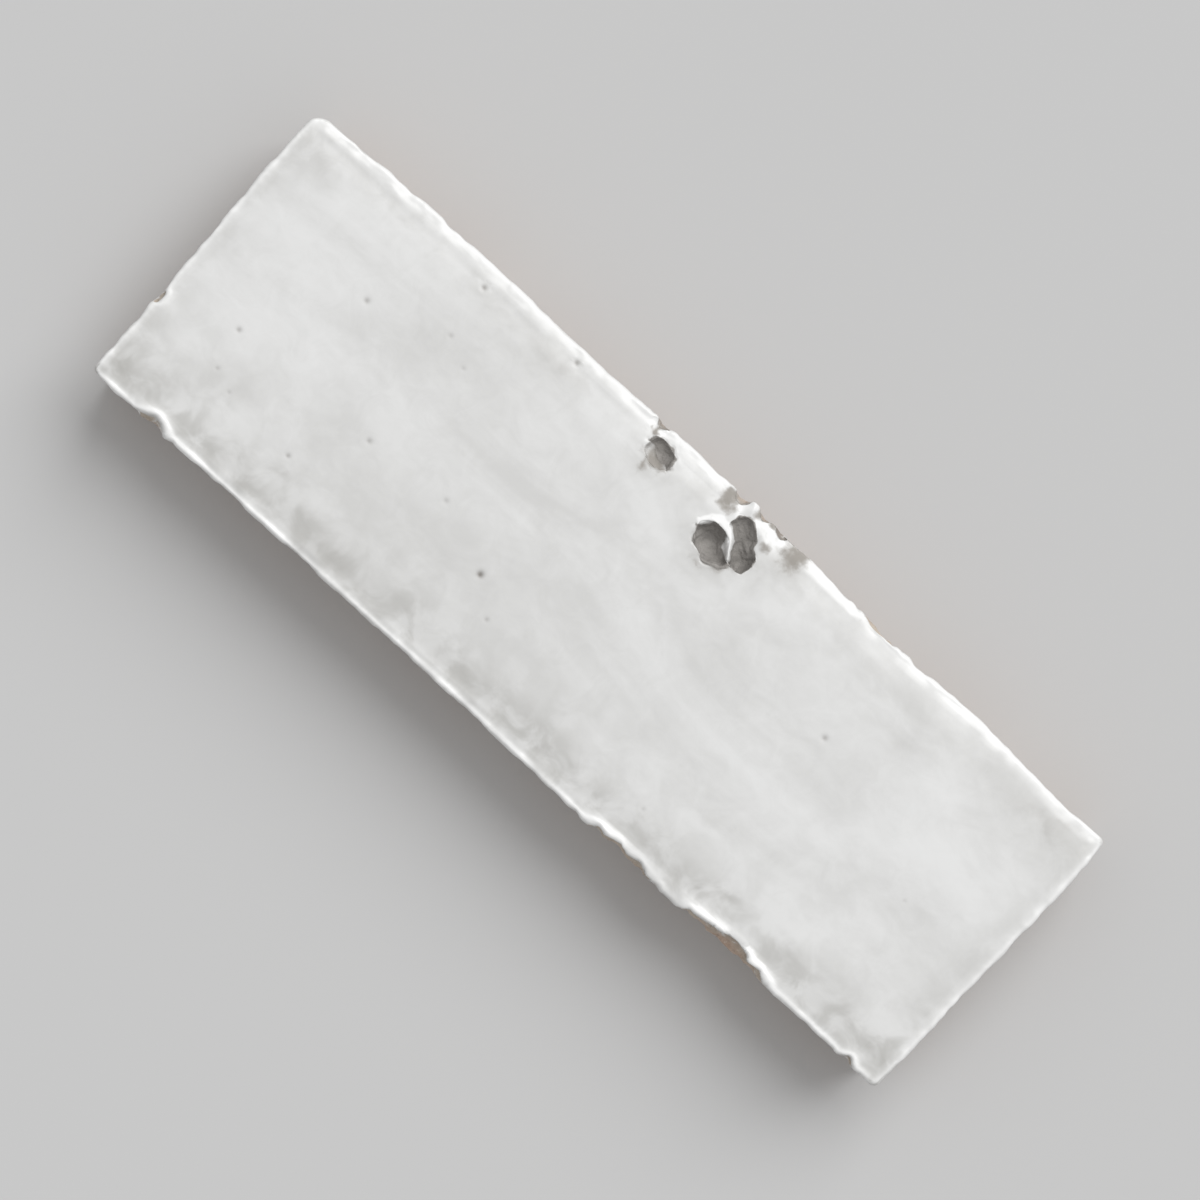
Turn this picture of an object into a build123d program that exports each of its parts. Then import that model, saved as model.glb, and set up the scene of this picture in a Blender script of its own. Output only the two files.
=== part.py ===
from build123d import *
import math
import os

# One hand-cut, fired and glazed clay paving tile, lying on its back.
# Millimetres, +Z up through the glazed face, +X along the length, origin at the middle of the back.

# Body of the tile
face_length = 150.8
face_width = 49.2
thickness = 15.0
side_relief = 0.9
back_arris = 0.6

# Spare clay above the face that the face's own shape trims off
trim_height = 0.5

# Corners, rounded by hand: one is well worn, the other three are fairly sharp
worn_corner_radius = 2.3
sharp_corner_radius = 1.1

# Where the corners stray outward from a true rectangle, in X and in Y
far_left_stray = (0.3, -0.5)
far_right_stray = (0.4, -1.5)
near_left_stray = (-0.6, 0.1)
near_right_stray = (-0.5, 0.2)

# How far each cut edge strays outward between its corners, at shares of that edge
far_edge_stray = [(0.1, 0.8), (0.35, 1.0), (0.6, 0.95), (0.7, 0.3), (0.77, 0.1), (0.82, 0.5), (0.88, 0.15)]
near_edge_stray = [(0.1, -0.3), (0.3, -0.5), (0.5, -0.5), (0.63, -0.15), (0.85, -0.2)]
left_edge_stray = [(0.35, -0.15), (0.7, 0.2)]
right_edge_stray = [(0.3, 0.05), (0.65, 0.1)]

# Glazed face: a slow pillow with hand-levelled waves, rolling over at the rim, most at the far edge
rim_radius = 0.75
crown_drop = 0.45
far_roll_drop = 1.35
far_roll_reach = 2.4
near_roll_drop = 0.4
near_roll_reach = 1.2
end_roll_drop = 0.5
end_roll_reach = 1.1
wave_height = 0.16
wave_length = 58.0
wave_slant = 0.45
cross_wave_slant = 0.35
cross_wave_shift = 1.1

# Points that carry the face's sheet along and across the tile, and its reach past the edges
face_columns = 61
face_rows = 29
face_margin = 2.0

# The deep pit near the far edge, where grit burst out of the clay, and the channel beside it,
# which a ridge of glaze keeps apart; the channel runs slantwise, out towards the far edge
pit_along = 0.541
pit_from_edge = 8.2
pit_long = 3.3
pit_wide = 2.1
pit_depth = 2.5
pit_turn = -20.0
pit_tip = 9.0
channel_from_pit = (3.1, 2.6)
channel_length = 4.4
channel_bore = 1.7
channel_sink = 0.5
channel_turn = -51.0

# The small pit, steep on its far side and shallow on its near side
small_pit_along = 0.4485
small_pit_from_edge = 3.9
small_pit_long = 2.2
small_pit_wide = 2.1
small_pit_depth = 1.5
small_pit_turn = -17.0
small_pit_tip = 24.0

# A faint round press mark near the near edge
dimple_along = 0.777
dimple_from_edge = 5.0
dimple_radius = 3.6
dimple_depth = 0.3

# Bites broken from the rim: share along the edge, half length, bite into the face, drop down the side
far_bites = [
    (0.433, 1.1, 1.0, 2.4),
    (0.534, 1.7, 1.2, 2.6),
    (0.561, 1.1, 0.9, 3.0),
    (0.583, 1.3, 1.0, 2.2),
    (0.708, 4.4, 0.8, 2.4),
]
near_bites = [
    (0.077, 3.0, 1.2, 2.6),
    (0.675, 7.0, 1.1, 3.2),
    (0.801, 9.2, 1.4, 4.2),
    (0.808, 4.6, 2.1, 5.0),
    (0.962, 1.2, 0.6, 1.5),
]
left_bites = [(0.3, 1.0, 0.9, 1.7)]
bite_fullness = 1.8


def edge_curve(start, end, outward, stray):
    """A hand-cut edge between two corners, led through its strays."""
    along = end - start
    points = [start + along * share + outward * offset for share, offset in stray]
    return Spline(start, *points, end)


def outline(inset, height):
    """The four cut edges of the tile at one height, as far, right, near and left curves."""
    half_length = face_length / 2 - inset
    half_width = face_width / 2 - inset
    far_left = Vector(-half_length - far_left_stray[0], half_width + far_left_stray[1], height)
    far_right = Vector(half_length + far_right_stray[0], half_width + far_right_stray[1], height)
    near_left = Vector(-half_length - near_left_stray[0], -half_width - near_left_stray[1], height)
    near_right = Vector(half_length + near_right_stray[0], -half_width - near_right_stray[1], height)
    far = edge_curve(far_left, far_right, Vector(0, 1, 0), far_edge_stray)
    right = edge_curve(near_right, far_right, Vector(1, 0, 0), right_edge_stray)
    near = edge_curve(near_left, near_right, Vector(0, -1, 0), near_edge_stray)
    left = edge_curve(near_left, far_left, Vector(-1, 0, 0), left_edge_stray)
    return far, right, near, left


def outline_face(inset, height):
    """The tile's outline at one height as a flat face."""
    return Face(Wire(list(outline(inset, height))))


def face_height(x, y):
    """Height of the glazed face above the back: crown, waves and the roll at each edge."""
    share_x = x / (face_length / 2)
    share_y = y / (face_width / 2)
    crown = crown_drop * (share_x**4 + share_y**2) / 2
    long_wave = math.sin(2 * math.pi * (x + wave_slant * y) / wave_length)
    cross_wave = math.sin(2 * math.pi * (cross_wave_slant * x - y) / wave_length + cross_wave_shift)
    waves = wave_height * (long_wave + cross_wave) / 2
    far_roll = far_roll_drop * math.exp((y - face_width / 2) / far_roll_reach)
    near_roll = near_roll_drop * math.exp((-y - face_width / 2) / near_roll_reach)
    end_roll = end_roll_drop * math.exp((abs(x) - face_length / 2) / end_roll_reach)
    return thickness - crown + waves - wave_height - far_roll - near_roll - end_roll


def eased(count):
    """Shares from -1 to 1, closer together near the ends where the face rolls over."""
    steps = [2 * i / (count - 1) - 1 for i in range(count)]
    return [math.sin(step * math.pi / 2) for step in steps]


def above_face():
    """The solid of air above the glazed face."""
    reach_x = face_length / 2 + face_margin
    reach_y = face_width / 2 + face_margin
    rows = []
    for share_y in eased(face_rows):
        y = share_y * reach_y
        rows.append([Vector(s * reach_x, y, face_height(s * reach_x, y)) for s in eased(face_columns)])
    sheet = Face.make_surface_from_array_of_points(rows, tol=0.01, min_deg=3, max_deg=5)
    return extrude(sheet, amount=thickness, dir=(0, 0, 1))


def upright_at(body, corner):
    """The upright side edge that stands nearest to a corner of the outline."""
    upright = body.edges().filter_by(lambda e: e.bounding_box().size.Z > thickness / 2)
    return upright.sort_by_distance(corner)[0]


def rim_edges(body):
    """The edges round the glazed face, where it meets the four sides and the corners."""
    face = body.faces().sort_by(Axis.Z)[-1]
    return face.edges()


def back_edges(body):
    """The edges round the flat back."""
    return body.faces().sort_by(Axis.Z)[0].edges()


def blank():
    """The cut clay slab: its four wandering sides, its corners, its pillowed face and its back arris."""
    back = outline_face(side_relief, 0).outer_wire()
    front = outline_face(-side_relief * trim_height / thickness, thickness + trim_height).outer_wire()
    slab = Solid.make_loft([back, front], True)
    far, right, near, left = outline(0, thickness)
    slab = slab.fillet(worn_corner_radius, [upright_at(slab, far @ 0)])
    for corner in (far @ 1, near @ 0, near @ 1):
        slab = slab.fillet(sharp_corner_radius, [upright_at(slab, corner)])
    slab = (slab - above_face()).solid()
    slab = slab.fillet(rim_radius, rim_edges(slab))
    return slab.chamfer(back_arris, None, back_edges(slab))


def sunk_at(place, turn):
    """A place on the face, turned about the upright."""
    return Pos(place.X, place.Y, face_height(place.X, place.Y)) * Rot(0, 0, turn)


def pit(place, long, wide, deep, turn, tip):
    """A rounded hollow by its three half sizes, its turn, and its tip towards the far edge."""
    return sunk_at(place, turn) * Rot(tip, 0, 0) * scale(Sphere(1), by=(long, wide, deep))


def channel(place):
    """A round-bottomed channel with rounded ends."""
    half_run = channel_length / 2
    bore = Cylinder(channel_bore, channel_length, rotation=(0, 90, 0))
    ends = [Pos(x, 0, 0) * Sphere(channel_bore) for x in (-half_run, half_run)]
    return sunk_at(place, channel_turn) * Pos(0, 0, -channel_sink) * (bore + ends)


def dimple(place):
    """A shallow round dip, as the cap of a large ball."""
    ball_radius = (dimple_radius**2 + dimple_depth**2) / (2 * dimple_depth)
    return sunk_at(place, 0) * Pos(0, 0, ball_radius - dimple_depth) * Sphere(ball_radius)


def inward(edge, share, distance):
    """A point of the face, a distance in from the far or the near edge."""
    rim = edge @ share
    return rim - Vector(0, math.copysign(distance, rim.Y), 0)


def hollows():
    """The hollows in the glazed face: the deep pit and its channel, the small pit and the dimple."""
    far, right, near, left = outline(0, thickness)
    deep_place = inward(far, pit_along, pit_from_edge)
    small_place = inward(far, small_pit_along, small_pit_from_edge)
    return [
        pit(deep_place, pit_long, pit_wide, pit_depth, pit_turn, pit_tip),
        channel(deep_place + Vector(*channel_from_pit)),
        pit(small_place, small_pit_long, small_pit_wide, small_pit_depth, small_pit_turn, small_pit_tip),
        dimple(inward(near, dimple_along, dimple_from_edge)),
    ]


def bite(edge, share, half_length, depth, drop):
    """A flake broken from the rim, longest along the edge and hollowing the face and the side."""
    rim = edge @ share
    run = edge % share
    outward = Vector(run.Y, -run.X, 0)
    if outward.dot(Vector(rim.X, rim.Y, 0)) < 0:
        outward = outward * -1
    reach = bite_fullness * depth
    centre = rim + outward * (reach - depth)
    turn = math.degrees(math.atan2(run.Y, run.X))
    flake = scale(Sphere(1), by=(half_length, reach, drop))
    return Pos(centre.X, centre.Y, face_height(rim.X, rim.Y)) * Rot(0, 0, turn) * flake


def bites():
    """Every flake broken from the rim."""
    far, right, near, left = outline(0, thickness)
    flakes = [bite(far, *sizes) for sizes in far_bites]
    flakes += [bite(near, *sizes) for sizes in near_bites]
    flakes += [bite(left, *sizes) for sizes in left_bites]
    return flakes


def tile():
    """The fired tile: the slab with its hollows sunk and its flakes broken off."""
    fired = blank()
    for tool in hollows() + bites():
        fired = fired - tool
    return fired.solid()


os.makedirs("parts", exist_ok=True)
export_step(tile(), "parts/bejmat_tile.step")
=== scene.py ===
import bmesh
import bpy
import math
import numpy as np
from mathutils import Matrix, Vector, noise


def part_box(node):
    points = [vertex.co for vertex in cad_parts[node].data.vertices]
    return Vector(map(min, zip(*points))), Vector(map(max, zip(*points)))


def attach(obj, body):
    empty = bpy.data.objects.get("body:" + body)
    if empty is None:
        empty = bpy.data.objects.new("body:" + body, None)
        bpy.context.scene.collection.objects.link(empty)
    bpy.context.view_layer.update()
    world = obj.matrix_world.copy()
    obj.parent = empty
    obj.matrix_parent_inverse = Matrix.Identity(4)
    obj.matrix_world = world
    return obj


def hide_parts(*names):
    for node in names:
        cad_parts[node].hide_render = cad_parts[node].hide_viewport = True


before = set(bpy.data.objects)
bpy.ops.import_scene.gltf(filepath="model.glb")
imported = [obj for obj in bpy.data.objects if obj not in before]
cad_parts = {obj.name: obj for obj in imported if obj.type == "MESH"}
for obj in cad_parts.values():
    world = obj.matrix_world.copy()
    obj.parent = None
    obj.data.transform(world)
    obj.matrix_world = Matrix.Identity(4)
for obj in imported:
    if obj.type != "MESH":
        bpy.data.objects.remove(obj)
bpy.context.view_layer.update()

# The clay body: one slab cut by hand from a rolled sheet of clay, dried and fired.
# It starts as a copy of the solid, remeshed evenly so that the hand-made relief can be
# worked into it, and cut finer along the rim, round the pits and at each pinhole.
MM = 0.001
MERGE_WITHIN = 0.005 * MM
EVEN_MESH = 0.63 * MM
RIM_BAND = 2.4 * MM
RIM_DEPTH = 2.6 * MM
FACE_DEPTH = 2.0 * MM
PINHOLE_CUT_RADII = 2.6
tile_low, tile_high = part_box("bejmat_tile")
half_length = (tile_high.x - tile_low.x) / 2
half_width = (tile_high.y - tile_low.y) / 2

# Burst hollows in the face, in mm: centre x, y and z, half sizes along, across and down,
# then their turn and their tip towards the far edge in degrees
DEEP_PIT = (6.3, 16.5, 14.7, 3.3, 2.1, 2.5, -20.0, 9.0)
SMALL_PIT = (-7.7, 20.8, 14.3, 2.2, 2.1, 1.5, -17.0, 24.0)

# The slanting channel beside the deep pit, in mm: centre x, y and z, half run between its ends
# and radius, then its turn in degrees
CHANNEL = (9.4, 19.1, 14.1, 2.2, 1.7, -51.0)

# Bites broken from the rim, in mm: centre x, y and z, half sizes along, out and down,
# then their turn in degrees; the first four lie beside the pits
RIM_BITES = [
    (-10.1, 25.5, 13.1, 1.1, 1.8, 2.4, 0.0),
    (5.2, 25.6, 13.2, 1.7, 2.2, 2.6, -1.0),
    (9.3, 25.3, 13.2, 1.1, 1.6, 3.0, -1.0),
    (12.7, 25.3, 13.3, 1.3, 1.8, 2.2, -2.0),
    (31.6, 24.3, 13.6, 4.4, 1.4, 2.4, -3.0),
    (-63.3, -25.4, 14.2, 3.0, 2.2, 2.6, 1.0),
    (26.3, -25.5, 14.2, 7.0, 2.0, 3.2, 0.0),
    (45.1, -25.7, 14.1, 9.2, 2.5, 4.2, 0.0),
    (46.2, -26.3, 14.1, 4.6, 3.8, 5.0, 0.0),
    (69.2, -25.2, 14.0, 1.2, 1.1, 1.5, -1.0),
    (-75.6, -10.1, 14.2, 1.0, 1.6, 1.7, 92.0),
]
BITES_BESIDE_PITS = 4

# Pinholes where gas broke through the glaze, in mm: x, y, radius, and how dark and deep from 0 to 1
PINHOLES = [
    (-14.8, -8.7, 0.48, 1.0), (-9.9, -12.8, 0.3, 0.45), (-25.3, -4.3, 0.34, 0.4), (-38.9, -5.4, 0.36, 0.55),
    (-52.4, 8.9, 0.4, 0.6), (-62.9, -6.2, 0.36, 0.6), (-45.9, -14.6, 0.3, 0.6), (36.3, 6.9, 0.38, 0.6),
    (-41.5, 21.4, 0.36, 0.75), (-24.8, 22.4, 0.36, 0.7), (-36.0, 11.0, 0.28, 0.3), (-40.4, 13.2, 0.3, 0.35),
    (-61.5, -12.2, 0.26, 0.4), (-58.0, -13.6, 0.26, 0.35), (59.9, -2.4, 0.22, 0.25), (24.2, -17.6, 0.24, 0.3),
]

# Stretches by the far edge that are cut finer, in mm: lowest x, highest x, lowest y, lowest z
ROUND_BOTH_PITS = (-11.5, 14.5, 12.8, 10.5)
ROUND_DEEP_PIT = (1.5, 14.0, 13.2, 11.2)
ROUND_SMALL_PIT = (-11.5, -4.5, 17.6, 11.2)


def make_only_active(piece):
    """Leaves one piece selected and active, so that the operators act on it alone."""
    bpy.ops.object.select_all(action="DESELECT")
    piece.select_set(True)
    bpy.context.view_layer.objects.active = piece


def copy_of_node(node, name):
    """A copy of a solid's mesh as a new piece, with its loose triangles joined."""
    piece = bpy.data.objects.new(name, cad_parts[node].data.copy())
    bpy.context.scene.collection.objects.link(piece)
    piece.data.materials.clear()
    make_only_active(piece)
    bpy.ops.object.mode_set(mode="EDIT")
    bpy.ops.mesh.select_all(action="SELECT")
    bpy.ops.mesh.remove_doubles(threshold=MERGE_WITHIN)
    bpy.ops.mesh.normals_make_consistent(inside=False)
    bpy.ops.object.mode_set(mode="OBJECT")
    return piece


def apply_modifier(piece, kind, **settings):
    """Adds one modifier with its settings and applies it."""
    make_only_active(piece)
    modifier = piece.modifiers.new(kind.lower(), kind)
    for setting, value in settings.items():
        setattr(modifier, setting, value)
    bpy.ops.object.modifier_apply(modifier=modifier.name)


def cut_finer(piece, wanted):
    """Cuts each face whose middle is wanted into four."""
    make_only_active(piece)
    bpy.ops.object.mode_set(mode="EDIT")
    bpy.ops.mesh.select_mode(type="FACE")
    bpy.ops.mesh.select_all(action="DESELECT")
    edit = bmesh.from_edit_mesh(piece.data)
    for face in edit.faces:
        if wanted(face.calc_center_median()):
            face.select_set(True)
    bmesh.update_edit_mesh(piece.data)
    bpy.ops.mesh.subdivide(number_cuts=1, ngon=False)
    bpy.ops.object.mode_set(mode="OBJECT")


def near_rim(centre):
    """True in the band where the face rolls over into the sides."""
    inside_ends = half_length - abs(centre.x) > RIM_BAND
    inside_sides = half_width - abs(centre.y) > RIM_BAND
    return tile_high.z - centre.z < RIM_DEPTH and not (inside_ends and inside_sides)


def in_stretch(centre, stretch):
    """True inside one of the stretches by the far edge."""
    low_x, high_x, low_y, low_z = stretch
    return low_x * MM < centre.x < high_x * MM and centre.y > low_y * MM and centre.z > low_z * MM


def near_pits(centre):
    """True round the burst pits and the rim that broke beside them."""
    return in_stretch(centre, ROUND_BOTH_PITS)


def near_hollow(centre):
    """True in and close round the hollows of the face."""
    return in_stretch(centre, ROUND_DEEP_PIT) or in_stretch(centre, ROUND_SMALL_PIT)


def near_pinhole(centre):
    """True within a few radii of a pinhole."""
    if centre.z < tile_high.z - FACE_DEPTH:
        return False
    return any(
        (centre.x - x * MM) ** 2 + (centre.y - y * MM) ** 2 < (PINHOLE_CUT_RADII * radius * MM) ** 2
        for x, y, radius, dark in PINHOLES
    )


true_form = copy_of_node("bejmat_tile", "true_form")
tile = copy_of_node("bejmat_tile", "glazed_tile")
apply_modifier(tile, "REMESH", mode="VOXEL", voxel_size=EVEN_MESH, adaptivity=0.0)
cut_finer(tile, near_rim)
cut_finer(tile, near_pits)
cut_finer(tile, near_hollow)
cut_finer(tile, near_pinhole)
cut_finer(tile, near_pinhole)
apply_modifier(tile, "SHRINKWRAP", target=true_form, wrap_method="NEAREST_SURFACEPOINT")
bpy.data.objects.remove(true_form)

# The levelled face: it was smoothed by hand while the clay was wet, so its slow form has no facets.
# The mesh is smoothed most well inside the face, and not at all at the rim, the pits and the bites.
# From here to the finish, lengths are in mm, as the points are.
FACET_SMOOTHING = 60
CALM_FROM_RIM = (1.2, 4.0)
CALM_FROM_BREAK = (0.3, 1.6)
WEIGHT_STEPS = 10

# The sides lean out towards the face: their line is read within this height, and moved out to the face
SIDE_READ_LOW = 5.5
SIDE_READ_HIGH = 8.0
SIDE_WANDER = 3.0
SIDE_LEAN = 0.43


def points_of(piece):
    """The piece's vertices in mm, one row each."""
    flat = np.empty(len(piece.data.vertices) * 3)
    piece.data.vertices.foreach_get("co", flat)
    return flat.reshape(-1, 3) / MM


def smooth_step(low, high, value):
    """0 below low, 1 above high, and an even S between."""
    share = np.clip((value - low) / (high - low), 0, 1)
    return share * share * (3 - 2 * share)


def turned(at, cx, cy, turn):
    """How far points lie along and across a direction through a centre."""
    angle = math.radians(turn)
    dx, dy = at[:, 0] - cx, at[:, 1] - cy
    return dx * math.cos(angle) + dy * math.sin(angle), dy * math.cos(angle) - dx * math.sin(angle)


def ellipsoid_gap(at, cx, cy, cz, long, wide, deep, turn, tip=0.0):
    """About how far points lie from an ellipsoid's skin, negative inside it."""
    along, across = turned(at, cx, cy, turn)
    lean, up = math.radians(tip), at[:, 2] - cz
    leant_across = across * math.cos(lean) + up * math.sin(lean)
    leant_up = up * math.cos(lean) - across * math.sin(lean)
    share = np.sqrt((along / long) ** 2 + (leant_across / wide) ** 2 + (leant_up / deep) ** 2)
    return (share - 1) * min(long, wide, deep)


def channel_gap(at, cx, cy, cz, half_run, radius, turn):
    """Distance from points to the channel's skin, negative inside it."""
    along, across = turned(at, cx, cy, turn)
    past = along - np.clip(along, -half_run, half_run)
    return np.sqrt(past**2 + across**2 + (at[:, 2] - cz) ** 2) - radius


def edge_line(at, along, across, side):
    """The top of one cut side, as a position across for each position along, read low on the side."""
    reach = np.abs(at[:, across]).max()
    low = (at[:, 2] > SIDE_READ_LOW) & (at[:, 2] < SIDE_READ_HIGH)
    low = low & (at[:, across] * side > reach - SIDE_WANDER)
    order = np.argsort(at[low, along])
    return at[low, along][order], at[low, across][order] + side * SIDE_LEAN


def edge_gap(at, along, across, side):
    """Distance from points in to one cut side."""
    line_along, line_across = edge_line(at, along, across, side)
    return side * (np.interp(at[:, along], line_along, line_across) - at[:, across])


def paint_group(piece, name, weights):
    """Stores one weight for each vertex as a vertex group, for a modifier to follow."""
    group = piece.vertex_groups.new(name=name)
    for step in range(1, WEIGHT_STEPS + 1):
        members = np.flatnonzero(np.round(weights * WEIGHT_STEPS) == step)
        group.add(members.tolist(), step / WEIGHT_STEPS, "REPLACE")


at = points_of(tile)
deep_gap = np.minimum(ellipsoid_gap(at, *DEEP_PIT), channel_gap(at, *CHANNEL))
small_gap = ellipsoid_gap(at, *SMALL_PIT)
pit_gap = np.minimum(deep_gap, small_gap)
bite_gaps = [ellipsoid_gap(at, *bite) for bite in RIM_BITES]
bite_gap = np.min(bite_gaps, axis=0)
break_gap = np.minimum(pit_gap, bite_gap)
far_inset, near_inset = edge_gap(at, 0, 1, 1), edge_gap(at, 0, 1, -1)
right_inset, left_inset = edge_gap(at, 1, 0, 1), edge_gap(at, 1, 0, -1)
rim_inset = np.min([far_inset, near_inset, right_inset, left_inset], axis=0)
calm = smooth_step(*CALM_FROM_RIM, rim_inset)
calm = calm * smooth_step(*CALM_FROM_BREAK, pit_gap) * smooth_step(*CALM_FROM_BREAK, bite_gap)
paint_group(tile, "calm_face", calm)
apply_modifier(tile, "SMOOTH", factor=0.5, iterations=FACET_SMOOTHING, vertex_group="calm_face")

# The glaze: a milky tin-white glaze poured over the face, which ran a little way down the sides
# and stands about a quarter of a millimetre proud of the clay. It is missing in the pits and bites.
GLAZE_THICKNESS = 0.26
FACE_LEVEL = 14.3
GLAZE_RUN = 2.6
RUN_WANDER = 1.1
RUN_RIPPLE = 0.5

# How far the glaze drew back from a pit and from a bite, and how far to the near side of its middle
# the small pit's glaze begins
PIT_DRAWBACK = 0.3
BITE_DRAWBACK = 0.12
# Partly painted shade: the small pit is left bare this far past its middle, so that its shaded middle is
# painted dark
SMALL_PIT_GLAZED_FROM = 0.35

# Runs of glaze that went further down a side, in mm: x, y, half width, extra length;
# each is a round-ended tongue with a soft skirt beside it, spread wider on the tile's two ends
RUNS = [
    (-47.0, -24.5, 5.5, 1.3), (-51.0, -24.5, 1.4, 2.0), (-17.0, -24.5, 7.0, 0.9), (5.0, -24.5, 2.0, 3.6),
    (9.6, -24.5, 3.4, 1.5), (63.0, -24.5, 3.6, 1.6), (-63.0, 24.5, 4.4, 1.4), (-36.0, 24.5, 2.1, 4.2),
    (-31.0, 24.5, 3.4, 1.6), (24.0, 24.5, 5.0, 1.1), (55.0, 24.5, 1.7, 2.8), (58.5, 24.5, 3.6, 1.2),
    (75.5, -8.0, 1.5, 2.4), (75.5, -4.0, 3.4, 1.2), (75.5, 14.0, 3.0, 0.8), (-75.5, 9.0, 4.0, 1.6),
    (-75.5, 11.5, 1.3, 1.6), (-75.5, -17.0, 2.6, 0.8),
]
RUN_TONGUE = 0.8
RUN_SKIRT = 0.3
END_RUN_SPREAD = 0.6

# How far below the face each bite stays glazed, in mm, in the order of the bites above
BITE_GLAZED_DOWN = [0.2, 0.3, 0.2, 0.2, 0.7, 1.3, 0.4, 0.3, 0.2, 0.4, 0.3]

# The thin ridge between the deep pit and its channel, which kept its glaze, in mm: its path in plan,
# the half width of glaze on it, and how much narrower it gets between two places along the tile
RIDGE_PATH = [(2.9, 17.7), (3.6, 19.1), (5.0, 19.9), (6.8, 19.4), (8.2, 18.0), (9.4, 16.2)]
RIDGE_HALF_WIDTH = 0.8
RIDGE_NARROWING = 0.75
RIDGE_NARROWS_BETWEEN = (6.8, 9.4)


def grain(at, lump, shift):
    """Smooth noise from about -1 to 1 at points, with lumps of one size, from one stretch of the noise."""
    return np.array([noise.noise(Vector(row) / lump + Vector((shift, 0, 0))) for row in at])


def mound(at, cx, cy, reach_x, reach_y):
    """1 at a centre and fading to nothing past its reach."""
    return np.exp(-(((at[:, 0] - cx) / reach_x) ** 2) - ((at[:, 1] - cy) / reach_y) ** 2)


def path_gap(at, path):
    """Distance in plan from points to a line led through a list of places."""
    gaps = []
    for (x1, y1), (x2, y2) in zip(path, path[1:]):
        dx, dy = x2 - x1, y2 - y1
        share = np.clip(((at[:, 0] - x1) * dx + (at[:, 1] - y1) * dy) / (dx * dx + dy * dy), 0, 1)
        gaps.append(np.hypot(at[:, 0] - x1 - share * dx, at[:, 1] - y1 - share * dy))
    return np.min(gaps, axis=0)


at = points_of(tile)
flat_at = at * (1, 1, 0)
small_lumps = grain(at, 1.1, 3.0)
run_length = GLAZE_RUN + RUN_WANDER * grain(flat_at, 9.0, 11.0) + RUN_RIPPLE * grain(flat_at, 2.8, 17.0)
for x, y, half_run, extra in RUNS:
    away = np.hypot(at[:, 0] - x, (at[:, 1] - y) * END_RUN_SPREAD) / half_run
    run_length = run_length + RUN_TONGUE * extra * np.sqrt(np.clip(1 - away**2, 0, 1))
    run_length = run_length + RUN_SKIRT * extra * np.exp(-(away**2) / 2)
side_cover = at[:, 2] - (FACE_LEVEL - run_length)

# The near slope of the small pit kept its glaze, and so did the ridge
small_pit_x, small_pit_y, small_pit_turn = SMALL_PIT[0], SMALL_PIT[1], SMALL_PIT[6]
small_pit_across = turned(at, small_pit_x, small_pit_y, small_pit_turn)[1]
small_cover = np.maximum(small_gap - PIT_DRAWBACK, -small_pit_across - SMALL_PIT_GLAZED_FROM)
narrowing = 1 + RIDGE_NARROWING * smooth_step(*RIDGE_NARROWS_BETWEEN, at[:, 0])
ridge_gap = path_gap(at, RIDGE_PATH) * narrowing + 0.12 * grain(at, 0.9, 7.0)
deep_cover = np.maximum(deep_gap - PIT_DRAWBACK, RIDGE_HALF_WIDTH - ridge_gap)
pit_cover = np.minimum(small_cover, deep_cover) - 0.2 * small_lumps
bite_cover = np.full(len(at), np.inf)
for gap, bite, glazed_down in zip(bite_gaps, RIM_BITES, BITE_GLAZED_DOWN):
    above_glaze_line = at[:, 2] - bite[2] + glazed_down - 0.2
    bite_cover = np.minimum(bite_cover, np.maximum(gap - BITE_DRAWBACK, above_glaze_line))
bite_cover = bite_cover - 0.3 * small_lumps
cover = np.minimum(side_cover, np.minimum(pit_cover, bite_cover))
bare = 1 - smooth_step(-0.2, 0.25, cover)

# Hand-made relief, as millimetres taken off the solid's skin: the clay lies under the glaze, the face
# has slow swells, the rim wanders, gas left pinholes, and the broken hollows are jagged.
POCK_DEPTH = 0.34
WORN_DEPTH = 0.9
PINHOLE_SINK = 0.2
LIP_WIDTH = 0.44
LIP_HEIGHT = 0.28
LIP_FROM_BRINK = 0.5
LIP_BAND = 4.0
FAR_RIM_BAND = 3.0
FAR_RIM_LIFT = 0.5
FAR_RIM_REACH = 2.0
RAGGED_DRAW = 0.55
RAGGED_NIBBLE = 0.1
RIDGE_TOP = 14.5
RIDGE_FALL = 0.09
RIDGE_STEEPNESS = 2.6
RIDGE_FLAT = 0.15
RIDGE_SMOOTHING = 7
HOLLOWS_FROM = 11.0

# Places along the near edge where the lip swells and its white, partly a painted highlight, is strongest, in
# mm and share
LIP_SWELLS = [(-70.6, 0.6), (-56.2, 0.5), (-63.5, 0.4), (22.0, 0.5), (42.3, 0.6), (51.5, 0.6), (65.0, 0.2)]
LIP_SWELL_Y = -24.0
LIP_SWELL_REACH = 3.0

# Crumbs of clay and glaze left standing, in mm: x, y, reach in x and y, height
CRUMBS = [
    (-64.2, -24.2, 1.2, 0.6, 0.5), (45.9, -24.2, 1.6, 0.6, 0.8), (11.7, 21.4, 0.9, 0.9, 0.3),
    (7.4, 23.8, 0.7, 0.9, 0.6), (-61.3, 2.1, 0.6, 0.6, 0.1), (-61.9, -21.9, 0.8, 0.5, 0.14),
    (26.6, -24.3, 0.8, 0.5, 0.4), (69.9, -24.2, 0.5, 0.5, 0.2),
]

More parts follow.
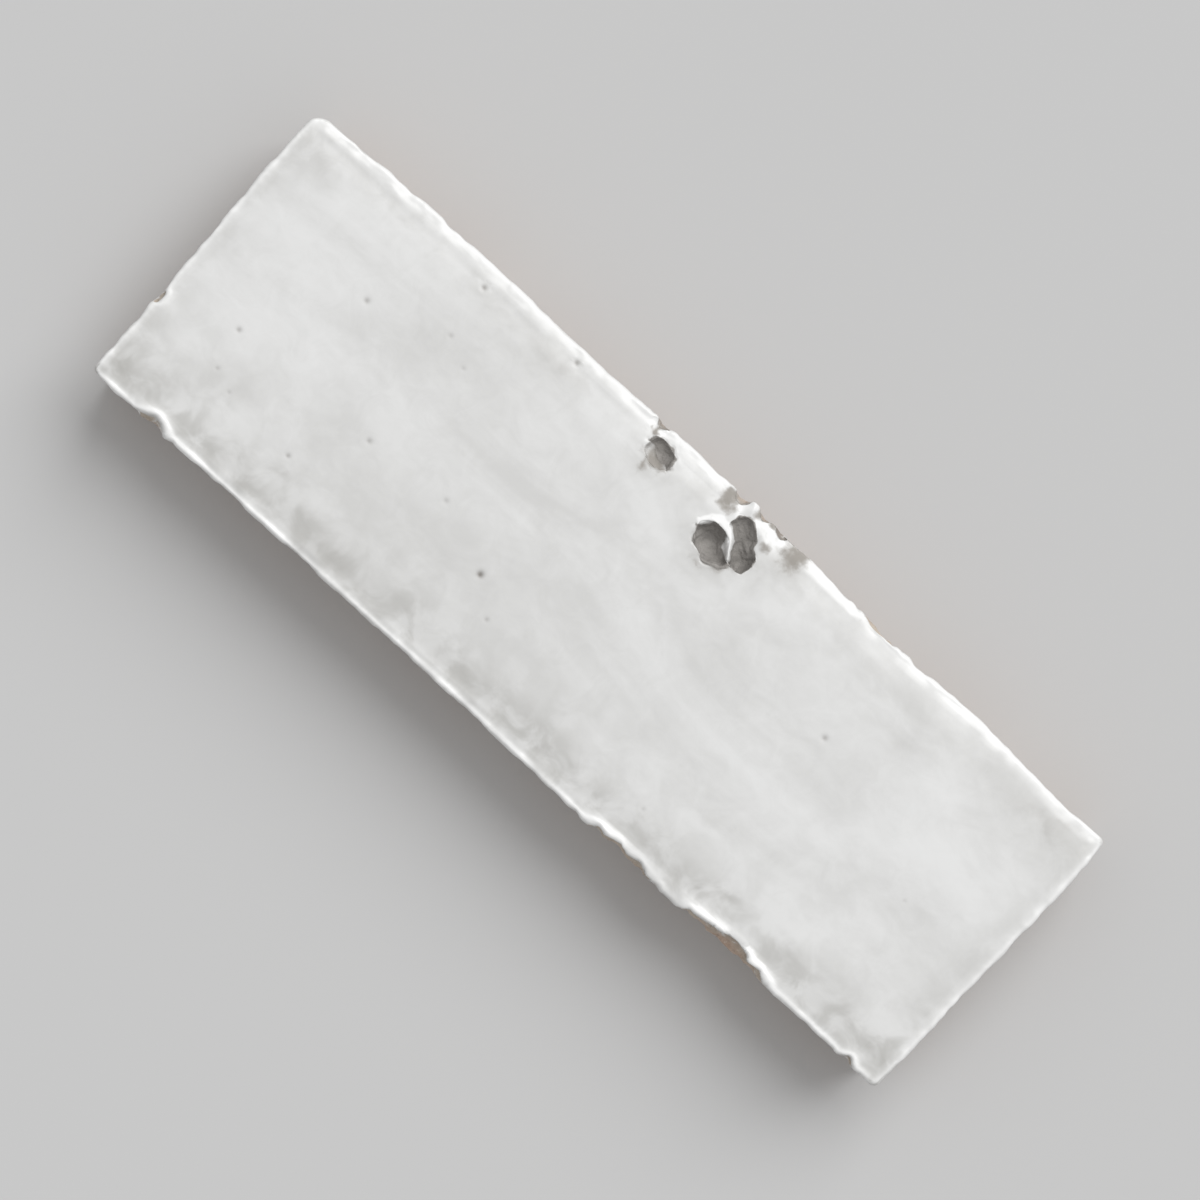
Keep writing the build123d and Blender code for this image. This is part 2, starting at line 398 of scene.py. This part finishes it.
# The face swells slowly, its rim wanders, and a band inside the far rim swells on its own
on_face = smooth_step(FACE_LEVEL - 1.8, FACE_LEVEL - 0.8, at[:, 2])
high_up = smooth_step(9.5, 13.0, at[:, 2])
swell = 0.16 + 0.11 * grain(flat_at, 24.0, 23.0) + 0.045 * grain(flat_at, 7.5, 29.0)
wander = np.clip(0.12 + 0.34 * grain(flat_at, 4.6, 31.0) + 0.2 * grain(at, 1.7, 33.0), 0, 1)
taken = GLAZE_THICKNESS * bare * smooth_step(0.0, 1.0, pit_gap)
taken = taken + swell * on_face * smooth_step(0.4, 3.0, rim_inset)
taken = taken + wander * (1 - smooth_step(0.4, 2.0, rim_inset)) * high_up
far_band = smooth_step(0.0, 1.2, far_inset) * (1 - smooth_step(1.2, 5.0, far_inset))
taken = taken + (0.12 + 0.26 * grain(flat_at, 8.0, 83.0)) * far_band * on_face

# The breaks are jagged, the bare clay is pocked, and the arris round the back is worn
broken = 1 - smooth_step(0.1, 0.9, break_gap)
jagged = 0.3 * grain(at, 1.5, 37.0) + 0.16 * grain(at, 0.6, 41.0)
taken = taken + broken * jagged * (0.2 + 0.8 * bare)
pocked = smooth_step(0.34, 0.56, grain(at, 2.3, 91.0)) * smooth_step(0.5, 2.0, rim_inset + at[:, 2])
taken = taken + POCK_DEPTH * pocked * bare * (1 - broken)
worn = np.clip(0.2 + 0.6 * grain(flat_at, 5.5, 97.0) + 0.35 * grain(at, 1.9, 101.0), 0, 1)
back_arris = (1 - smooth_step(0.3, 1.8, rim_inset)) * (1 - smooth_step(0.4, 2.4, at[:, 2]))
taken = taken + WORN_DEPTH * worn * back_arris
specks = np.zeros(len(at))
for x, y, radius, dark in PINHOLES:
    specks = np.maximum(specks, dark * mound(at, x, y, 1.2 * radius, 1.2 * radius) * on_face)
taken = taken + PINHOLE_SINK * specks
for x, y, reach_x, reach_y, height in CRUMBS:
    taken = taken - height * mound(at, x, y, reach_x, reach_y) * smooth_step(11.0, 12.5, at[:, 2])

# Glaze drew back from the rim and from each bite into a rounded lip, except along the far rim
brink = np.minimum(rim_inset, bite_gap - 0.1)
lip_share = 0.35 + 0.25 * (left_inset < LIP_BAND) + 0.25 * (right_inset < LIP_BAND)
lip_share = np.where(near_inset < LIP_BAND, 0.7 + 0.6 * grain(flat_at, 5.0, 43.0), lip_share)
for x, strength in LIP_SWELLS:
    lip_share = lip_share + strength * mound(at, x, LIP_SWELL_Y, LIP_SWELL_REACH, LIP_SWELL_REACH)
lip = np.exp(-(((brink - LIP_FROM_BRINK) / LIP_WIDTH) ** 2))
lip = lip * np.clip(lip_share, 0, 1.5) * high_up * (1 - bare)
lip_height = LIP_HEIGHT * lip * (far_inset > FAR_RIM_BAND)

normals = np.empty(len(at) * 3)
tile.data.vertices.foreach_get("normal", normals)
formed = at - normals.reshape(-1, 3) * taken[:, None]
formed[:, 2] += lip_height

# Towards its left end the far rim rolls over less
flatter = (1 - smooth_step(-20.0, 15.0, at[:, 0])) * smooth_step(12.5, 13.6, at[:, 2])
formed[:, 2] += FAR_RIM_LIFT * flatter * np.exp(-np.clip(far_inset, 0, 20) / FAR_RIM_REACH)

# Nothing broken has a clean outline: round the hollows the skin is drawn aside in small lumps
ragged = (1 - smooth_step(0.4, 1.8, break_gap)) * high_up
for axis, lump_shift, nibble_shift in ((0, 47.0, 49.0), (1, 53.0, 59.0)):
    nibble = RAGGED_NIBBLE * grain(flat_at, 0.8, nibble_shift)
    formed[:, axis] += ragged * (RAGGED_DRAW * grain(flat_at, 2.0, lump_shift) + nibble)

# The ridge stands up between the deep pit and its channel, and falls towards the far edge
in_hollows = at[:, 2] > HOLLOWS_FROM
ridge_side = path_gap(formed, RIDGE_PATH) * narrowing + 0.1 * grain(formed, 1.3, 61.0)
ridge_crest = RIDGE_TOP - RIDGE_FALL * (formed[:, 1] - DEEP_PIT[1])
ridge_height = ridge_crest - RIDGE_STEEPNESS * np.clip(ridge_side - RIDGE_FLAT, 0, 9) ** 2
raised = in_hollows & (ridge_height > formed[:, 2])
formed[raised, 2] = ridge_height[raised]
formed = np.clip(formed, np.array(tile_low) / MM, np.array(tile_high) / MM)
tile.data.vertices.foreach_set("co", (formed * MM).ravel())
tile.data.update()
paint_group(tile, "soft_ridge", (1 - smooth_step(0.9, 1.5, ridge_side)) * in_hollows)
apply_modifier(tile, "SMOOTH", factor=0.5, iterations=RIDGE_SMOOTHING, vertex_group="soft_ridge")

# Rough clay: the cut sides and the back keep the drag of the knife and the grit of the board.
# Each is a texture of lumps of one size in mm, sunk into the bare clay by its depth in mm.
ROUGHNESSES = (("board_grit", "CLOUDS", 2.6, 0.16), ("knife_drag", "STUCCI", 6.0, 0.2))
paint_group(tile, "bare_clay", bare * (1 - broken))
for name, kind, lump, depth in ROUGHNESSES:
    texture = bpy.data.textures.new(name, kind)
    texture.noise_scale = lump * MM
    if kind == "CLOUDS":
        texture.noise_depth = 3
    apply_modifier(
        tile, "DISPLACE", texture=texture, texture_coords="LOCAL", strength=depth * MM, mid_level=1.0,
        vertex_group="bare_clay",
    )

# The tile lies on its back, so its lowest clay touches the floor
BACK_SETTLES_BELOW = 3.0
resting = points_of(tile)
lift = resting[:, 2].min() - tile_low.z / MM
resting[:, 2] -= lift * (1 - smooth_step(0.0, BACK_SETTLES_BELOW, resting[:, 2]))
tile.data.vertices.foreach_set("co", (resting * MM).ravel())
tile.data.update()

# Marks on the surface: smears of dirt round the breaks, partly painted shade in the small pit, and soft grey
# patches on the glaze.
# Each vertex keeps how strongly it has each mark and how near a hollow it lies, for the finish to read.
MARK_STRAY = 1.1
MARK_NIBBLE = 0.5
CLEANED = 0.95
FRINGE_STRENGTH = 0.6
FAR_BITE_DEPTH = 0.8

# Smears of dirt, in mm: x, y, reach in x and y, strength; the sixth, in the small pit, is also painted shade,
# darkening the pit's shaded middle
SMEARS_AND_SHADE = [
    (4.1, 22.7, 1.6, 2.9, 1.1), (16.0, 23.4, 2.5, 3.0, 1.2), (11.8, 21.3, 0.9, 0.9, 0.9),
    (10.4, 25.0, 7.4, 1.3, 1.6), (6.4, 13.3, 2.4, 0.9, 0.5), (-7.8, 19.9, 2.1, 1.7, 1.3),
    (-9.9, 23.6, 0.9, 1.2, 1.2), (-8.2, 17.8, 2.0, 1.2, 0.35), (30.5, 23.7, 2.4, 0.5, 0.8),
]

# Spots that stayed clean among the smears, in mm: x, y, reach in x and y
CLEAN_SPOTS = [(7.3, 23.9, 0.6, 0.8), (11.2, 22.8, 1.6, 0.4), (5.4, 20.0, 1.8, 0.6)]

# Soft grey patches on the face, in mm: x, y, reach in x and y, strength
GREY_SPOTS = [
    (-47.9, -21.4, 2.2, 1.0, 0.7), (-45.1, -17.0, 1.0, 0.5, 0.7), (-51.5, -20.6, 3.0, 1.4, 0.4),
    (-66.0, -18.0, 4.0, 2.0, 0.35), (-71.0, -21.4, 3.4, 0.9, 0.5), (-60.0, -14.0, 5.0, 3.0, 0.25),
    (-38.6, -19.6, 3.0, 1.4, 0.4), (-30.5, -21.0, 4.0, 1.0, 0.5), (-20.0, -18.6, 5.0, 2.4, 0.35),
    (-8.0, -20.6, 5.0, 1.2, 0.45), (6.0, -19.4, 5.0, 2.0, 0.4), (15.5, -21.0, 3.0, 1.0, 0.45),
    (22.5, -21.6, 1.2, 0.7, 0.6), (26.0, -19.6, 2.0, 1.2, 0.4), (33.6, -21.0, 1.6, 1.4, 0.45),
    (37.7, -20.6, 1.2, 0.9, 1.0), (41.0, -18.8, 2.8, 0.9, 0.6), (52.5, -19.4, 2.6, 1.3, 0.6),
    (64.5, -19.6, 2.2, 1.2, 0.45), (70.6, -21.0, 2.2, 1.8, 0.4), (66.8, 19.0, 4.0, 1.5, 0.6),
    (69.0, 20.6, 0.9, 0.7, 0.7), (-26.0, 20.6, 1.6, 1.2, 0.4), (44.6, 14.0, 1.6, 2.4, 0.25),
    (-69.0, 19.0, 3.0, 2.4, 0.3), (14.0, 8.0, 9.0, 3.0, 0.2), (-42.0, 12.0, 7.0, 3.0, 0.2),
    (7.0, 14.6, 4.8, 3.0, 0.55), (-8.0, 19.2, 3.4, 2.6, 0.55), (16.6, 21.6, 4.2, 3.2, 0.6),
    (0.4, 20.8, 2.6, 1.8, 0.35), (13.6, 17.6, 1.8, 3.0, 0.4), (-30.0, 20.8, 12.0, 1.4, 0.35),
    (-58.0, 21.4, 10.0, 1.2, 0.35),
]


def strongest(at, marks):
    """The strongest of a list of soft marks at each point."""
    shade = np.zeros(len(at))
    for x, y, reach_x, reach_y, strength in marks:
        shade = np.maximum(shade, strength * mound(at, x, y, reach_x, reach_y))
    return shade


def store(piece, name, values):
    """Keeps one number for each vertex, for the finish to read."""
    attribute = piece.data.attributes.new(name, "FLOAT", "POINT")
    attribute.data.foreach_set("value", np.asarray(values, dtype=np.float32))


# The marks' outlines stray in small lumps, and dirt settled in a fringe on the near side of each pit
astray = at.copy()
for axis, lump_shift, nibble_shift in ((0, 67.0, 71.0), (1, 73.0, 79.0)):
    nibble = MARK_NIBBLE * grain(flat_at, 0.9, nibble_shift)
    astray[:, axis] += MARK_STRAY * grain(flat_at, 2.3, lump_shift) + nibble
smeared_and_shade = strongest(astray, SMEARS_AND_SHADE)
for x, y, reach_x, reach_y in CLEAN_SPOTS:
    smeared_and_shade = smeared_and_shade * (1 - CLEANED * mound(at, x, y, reach_x, reach_y))
fringe = np.maximum(
    (1 - smooth_step(0.2, 1.3, deep_gap)) * (1 - smooth_step(15.5, 18.0, at[:, 1])),
    (1 - smooth_step(0.1, 1.1, small_gap)) * (1 - smooth_step(20.0, 21.5, at[:, 1])),
)
store(tile, "smeared_and_shade", np.maximum(smeared_and_shade, FRINGE_STRENGTH * fringe) * high_up)
store(tile, "grey_spotted", strongest(astray, GREY_SPOTS) * on_face * (1 - np.clip(lip, 0, 1)))

# The glaze is painted greyer towards the rim; along the near edge, which slopes away from the light, the grey
# is stronger and is partly painted shade
edge_grey_and_shade = 0.6 * (1 - smooth_step(1.5, 9.0, near_inset)) + 0.35 * (1 - smooth_step(3.0, 22.0, near_inset))
edge_grey_and_shade = edge_grey_and_shade + 0.45 * (1 - smooth_step(1.0, 6.0, left_inset))
edge_grey_and_shade = edge_grey_and_shade + 0.35 * (1 - smooth_step(1.0, 8.0, right_inset))
edge_grey_and_shade = edge_grey_and_shade + 0.25 * (1 - smooth_step(2.0, 12.0, far_inset))
store(tile, "edge_grey_and_shade", np.clip(edge_grey_and_shade, 0, 1.2) * on_face)

# Where it collects it is thick and white, on the ridge and in the lip, whose white is partly a painted
# highlight; along the far rim the white is a painted highlight, strongest towards the right end
soft_lip_and_highlight = 0.45 * np.exp(-(((brink - 1.0) / 0.8) ** 2)) * np.clip(lip_share, 0, 1.2) * high_up
# Painted highlight: the far rim is painted white, more towards the right end
far_rim_highlight = (1 - smooth_step(-0.6, 3.6, far_inset)) * (0.1 + 0.22 * smooth_step(-25.0, 20.0, at[:, 0]))
ridge_white = (1 - smooth_step(0.4, 0.8, ridge_gap)) * (1 - 0.85 * smooth_step(7.4, 9.2, at[:, 0]))
store(tile, "thick_glaze_and_highlight", np.maximum(np.clip(lip + soft_lip_and_highlight + far_rim_highlight, 0, 1), ridge_white))

# The pits are greyest, then the bites beside them, and the dirt fades out down the tile's sides
in_pit = 1 - smooth_step(0.7, 1.3, pit_gap)
in_far_bite = 1 - smooth_step(0.3, 0.9, np.min(bite_gaps[:BITES_BESIDE_PITS], axis=0))
in_far_bite = in_far_bite * smooth_step(9.6, 12.2, at[:, 2] + 0.6 * small_lumps)
in_bite = 1 - smooth_step(-0.1, 0.7, bite_gap)
store(tile, "pit_depth", np.maximum(in_pit, FAR_BITE_DEPTH * in_far_bite))
store(tile, "bite_depth", in_bite * smooth_step(9.4, 12.8, at[:, 2] + 0.5 * small_lumps))
store(tile, "glaze_cover", cover)
store(tile, "pinhole", specks)
make_only_active(tile)
bpy.ops.object.shade_smooth()

# The finish: one fired surface, which is glossy milky glaze where it covers and matt clay elsewhere.
# The glaze's colours are its own tones and its marks, with painted shade along the near edge and in the small
# pit and a painted highlight along the far rim and in the lip, and the clay's are its body, grit, dust and
# dirt.
THIN_GLAZE = (0.585, 0.583, 0.573, 1)
FULL_GLAZE = (0.715, 0.716, 0.711, 1)
# The thick glaze's white, also used as the painted highlight along the far rim and partly in the lip
THICK_GLAZE_AND_HIGHLIGHT = (0.84, 0.84, 0.835, 1)
# Grey towards the rim, partly painted shade along the near edge
EDGE_GREY_AND_SHADE = (0.46, 0.456, 0.438, 1)
SPOT_GREY = (0.4, 0.393, 0.375, 1)
# Dirt brown, also painted shade in the small pit's middle
SMEAR_AND_SHADE_BROWN = (0.32, 0.3, 0.275, 1)
PINHOLE_BROWN = (0.24, 0.225, 0.21, 1)
PINK_CLAY = (0.47, 0.335, 0.255, 1)
BEIGE_CLAY = (0.6, 0.465, 0.37, 1)
DRAGGED_CLAY = (0.4, 0.28, 0.21, 1)
PALE_GROG = (0.72, 0.62, 0.53, 1)
DARK_GROG = (0.3, 0.215, 0.17, 1)
DARK_GRIT = (0.29, 0.2, 0.16, 1)
DUST = (0.7, 0.64, 0.575, 1)
DARK_DIRT = (0.355, 0.322, 0.272, 1)
PALE_DIRT = (0.5, 0.46, 0.397, 1)
DIRTY_GROG = (0.56, 0.53, 0.48, 1)
DARK_PIT = (0.215, 0.203, 0.19, 1)
PALE_PIT = (0.345, 0.327, 0.308, 1)
GLAZE_ROUGHNESS = 0.36
CLAY_ROUGHNESS = 0.95
GLAZE_IOR = 1.5
COAT_WEIGHT = 0.4
COAT_ROUGHNESS = 0.27
PEEL_HEIGHT = 0.06
CLAY_RELIEF_HEIGHT = 0.22
BUMP_STRENGTH = 0.8

# A Mix node has sockets of one name for each kind of value; these are the numbers of its colour ones
MIX_FIRST_COLOUR = 6
MIX_SECOND_COLOUR = 7
MIX_COLOUR_RESULT = 2


class Socket:
    """A material's socket, on which Python's arithmetic adds the shader's Math nodes."""

    def __init__(self, tree, source=None):
        self.tree = tree
        self.source = source

    def node(self, kind, settings, inputs, output=0):
        """Adds one node: its settings, the values or links of its inputs, and the output to go on from."""
        made = self.tree.nodes.new(kind)
        for name, value in settings.items():
            setattr(made, name, value)
        for name, value in inputs.items():
            if isinstance(value, Socket):
                self.tree.links.new(value.source, made.inputs[name])
            else:
                made.inputs[name].default_value = value
        return Socket(self.tree, made.outputs[output] if made.outputs else None)

    def maths(self, operation, first, second):
        """One Math node on two values or sockets."""
        return self.node("ShaderNodeMath", {"operation": operation}, {0: first, 1: second})

    def __add__(self, other):
        return self.maths("ADD", self, other)

    def __radd__(self, other):
        return self.maths("ADD", other, self)

    def __sub__(self, other):
        return self.maths("SUBTRACT", self, other)

    def __rsub__(self, other):
        return self.maths("SUBTRACT", other, self)

    def __mul__(self, other):
        return self.maths("MULTIPLY", self, other)

    def __rmul__(self, other):
        return self.maths("MULTIPLY", other, self)

    def stepped(self, low, high):
        """0 at low, 1 at high, and smooth between."""
        limits = {"Value": self, "From Min": low, "From Max": high, "To Min": 0.0, "To Max": 1.0}
        return self.node("ShaderNodeMapRange", {"interpolation_type": "SMOOTHSTEP"}, limits)

    def tint(self, low, high):
        """A colour between two, by this share."""
        mixed = {"Factor": self, MIX_FIRST_COLOUR: low, MIX_SECOND_COLOUR: high}
        return self.node("ShaderNodeMix", {"data_type": "RGBA"}, mixed, MIX_COLOUR_RESULT)


def noise_at(start, place, lump, detail=3.0, roughness=0.55, twist=0.0):
    """Smooth noise from 0 to 1, with lumps of one size in mm."""
    inputs = {"Vector": place, "Scale": 1.0 / lump, "Detail": detail, "Roughness": roughness}
    inputs["Distortion"] = twist
    return start.node("ShaderNodeTexNoise", {}, inputs)


def stored(start, name):
    """A number kept on the mesh."""
    return start.node("ShaderNodeAttribute", {"attribute_name": name}, {}, "Fac")


finish = bpy.data.materials.new("glazed_clay")
finish.use_nodes = True
tree = finish.node_tree
tree.nodes.clear()
start = Socket(tree)
in_metres = start.node("ShaderNodeTexCoord", {}, {}, "Object")
place = start.node("ShaderNodeVectorMath", {"operation": "SCALE"}, {0: in_metres, "Scale": 1 / MM})
drawn_out = start.node("ShaderNodeMapping", {}, {"Vector": place, "Scale": (0.35, 1.0, 1.0)})
flat_grain = start.node("ShaderNodeMapping", {}, {"Vector": place, "Scale": (0.25, 0.25, 1.6)})

# The glaze: cloudy and drawn out along the tile, with its greys (partly painted shade along the near edge),
# its grey patches, its thick white (partly a painted highlight), its smears (partly painted shade in the
# small pit) and pinholes laid over in turn
clouds = noise_at(start, drawn_out, 11.0, 4.0, 0.55, 0.8)
wisps = noise_at(start, place, 4.2, 4.0, 0.62, 1.2)
mist = noise_at(start, place, 30.0, 2.0, 0.5, 0.4)
blotches = noise_at(start, place, 4.6, 3.0, 0.55, 0.5)
flecks = noise_at(start, place, 1.1, 3.0, 0.6, 0.4)
milk = (clouds * 0.5 + wisps * 0.2 + mist * 0.4).stepped(0.37, 0.71)
# Partly painted shade: the grey along the near edge, which slopes away from the light
edge_grey_and_shade_patches = stored(start, "edge_grey_and_shade") * (0.25 + blotches.stepped(0.36, 0.66) * 0.75)
spotting = stored(start, "grey_spotted") * (0.35 + blotches.stepped(0.3, 0.6) * 0.65)
# Painted highlight along the far rim and partly in the lip, over the thick glaze's own white
gathered_and_highlight = stored(start, "thick_glaze_and_highlight") * (0.7 + wisps * 0.5)
# Smears of dirt, and in the small pit partly painted shade
smear_and_shade = (stored(start, "smeared_and_shade") * 1.4 - wisps * 0.5 - flecks * 1.5 + 0.65).stepped(0.0, 1.2)
pinhole = stored(start, "pinhole")
glaze_colour = milk.tint(THIN_GLAZE, FULL_GLAZE)
glaze_colour = edge_grey_and_shade_patches.tint(glaze_colour, EDGE_GREY_AND_SHADE)
glaze_colour = spotting.tint(glaze_colour, SPOT_GREY)
glaze_colour = gathered_and_highlight.tint(glaze_colour, THICK_GLAZE_AND_HIGHLIGHT)
glaze_colour = smear_and_shade.tint(glaze_colour, SMEAR_AND_SHADE_BROWN)
glaze_colour = (pinhole * (0.6 + pinhole * 0.5)).tint(glaze_colour, PINHOLE_BROWN)

# The clay: patchy and dragged, with pale and dark grog, grit and dust, then the dirt of the breaks
grog = noise_at(start, place, 0.8, 3.0, 0.7)
grit = noise_at(start, place, 0.33, 2.0, 0.5)
clay_patches = noise_at(start, place, 5.0, 4.0, 0.65, 0.6)
drags = noise_at(start, flat_grain, 3.0, 3.0, 0.6, 0.3)
dusty = noise_at(start, place, 9.0, 4.0, 0.65, 0.6).stepped(0.48, 0.72) * 0.55
clay_colour = clay_patches.stepped(0.3, 0.7).tint(PINK_CLAY, BEIGE_CLAY)
clay_colour = (drags.stepped(0.45, 0.75) * 0.35).tint(clay_colour, DRAGGED_CLAY)
clay_colour = (grog.stepped(0.6, 0.72) * 0.6).tint(clay_colour, PALE_GROG)
clay_colour = (grog.stepped(0.42, 0.3) * 0.75).tint(clay_colour, DARK_GROG)
clay_colour = (grit.stepped(0.62, 0.7) * 0.7).tint(clay_colour, DARK_GRIT)
clay_colour = dusty.tint(clay_colour, DUST)
dirt = clay_patches.stepped(0.3, 0.7).tint(DARK_DIRT, PALE_DIRT)
dirt = (grog.stepped(0.55, 0.7) * 0.5).tint(dirt, DIRTY_GROG)
clay_colour = (stored(start, "bite_depth") * (0.5 + clay_patches * 0.6)).tint(clay_colour, dirt)
pit_colour = clay_patches.stepped(0.35, 0.7).tint(DARK_PIT, PALE_PIT)
clay_colour = stored(start, "pit_depth").tint(clay_colour, pit_colour)

# The glaze's edge is speckled; the bump is centred, so that the glaze and the clay meet level
speckle = noise_at(start, place, 0.5, 2.0)
covered = (stored(start, "glaze_cover") + speckle * 0.3 - 0.15).stepped(-0.1, 0.1)
surface_colour = covered.tint(clay_colour, glaze_colour)
glaze_roughness = GLAZE_ROUGHNESS + wisps * 0.14 + smear_and_shade * 0.5 + pinhole * 0.4
surface_roughness = glaze_roughness * covered + (CLAY_ROUGHNESS - grog * 0.1) * (1 - covered)
peel = noise_at(start, place, 1.6, 2.0) * 0.35 + noise_at(start, place, 4.5, 2.0) * 1.2 - 0.78
clay_relief = grog * 1.6 + drags * 1.1 + clay_patches * 1.2 + grit * 0.5 - 2.2
height = peel * PEEL_HEIGHT * covered + clay_relief * CLAY_RELIEF_HEIGHT * (1 - covered)
bump = start.node("ShaderNodeBump", {}, {"Height": height, "Strength": BUMP_STRENGTH, "Distance": MM})
glossy = start.node(
    "ShaderNodeBsdfPrincipled", {},
    {
        "Base Color": surface_colour,
        "Roughness": surface_roughness,
        "Normal": bump,
        "IOR": GLAZE_IOR,
        "Coat Weight": covered * (1 - smear_and_shade) * COAT_WEIGHT,
        "Coat Roughness": COAT_ROUGHNESS,
    },
)
start.node("ShaderNodeOutputMaterial", {}, {"Surface": glossy})
tile.data.materials.append(finish)
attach(tile, "root")
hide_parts("bejmat_tile")

# The stage, with its lengths in metres: a pale matt floor whose tone meets the even studio's, so that
# low views show no hard horizon, one soft light that comes low over the pitted edge, and a camera that
# looks straight down with a long lens, turned as the photo sees the tile.
FLOOR_SIDE = 28.0
FLOOR_TONE = (0.53, 0.53, 0.53, 1)
STUDIO_WHITE = (1, 1, 1, 1)
STUDIO_STRENGTH = 0.58
KEY_SPREAD = 50.0
KEY_STRENGTH = 2.36
KEY_PLACE = (0.15, 1.7, 1.6)
TURN_IN_PHOTO = 42.4
LENS = 135.0
SENSOR = 36.0
FRAME_WIDTH = 0.168

bpy.ops.object.select_all(action="DESELECT")
bpy.ops.mesh.primitive_plane_add(size=FLOOR_SIDE, location=(0, 0, tile_low.z))
floor = bpy.context.object
floor.name = "floor"
floor_finish = bpy.data.materials.new("pale_floor")
floor_finish.use_nodes = True
paint = floor_finish.node_tree.nodes["Principled BSDF"]
paint.inputs["Base Color"].default_value = FLOOR_TONE
paint.inputs["Roughness"].default_value = 1.0
paint.inputs["Specular IOR Level"].default_value = 0.0
floor.data.materials.append(floor_finish)

world = bpy.data.worlds.new("studio_air")
bpy.context.scene.world = world
world.use_nodes = True
air = world.node_tree.nodes["Background"]
air.inputs["Color"].default_value = STUDIO_WHITE
air.inputs["Strength"].default_value = STUDIO_STRENGTH

key = bpy.data.lights.new("key", "SUN")
key.angle = math.radians(KEY_SPREAD)
key.energy = KEY_STRENGTH
key_light = bpy.data.objects.new("key", key)
bpy.context.scene.collection.objects.link(key_light)
key_light.location = KEY_PLACE
key_light.rotation_euler = (-key_light.location).to_track_quat("-Z", "Y").to_euler()

camera_data = bpy.data.cameras.new("camera")
camera_data.lens = LENS
camera_data.sensor_width = SENSOR
camera = bpy.data.objects.new("camera", camera_data)
bpy.context.scene.collection.objects.link(camera)
camera.location = (0, 0, tile_high.z + FRAME_WIDTH * LENS / SENSOR)
camera.rotation_euler = (0, 0, math.radians(TURN_IN_PHOTO))
bpy.context.scene.camera = camera
bpy.context.scene.view_settings.view_transform = "Standard"
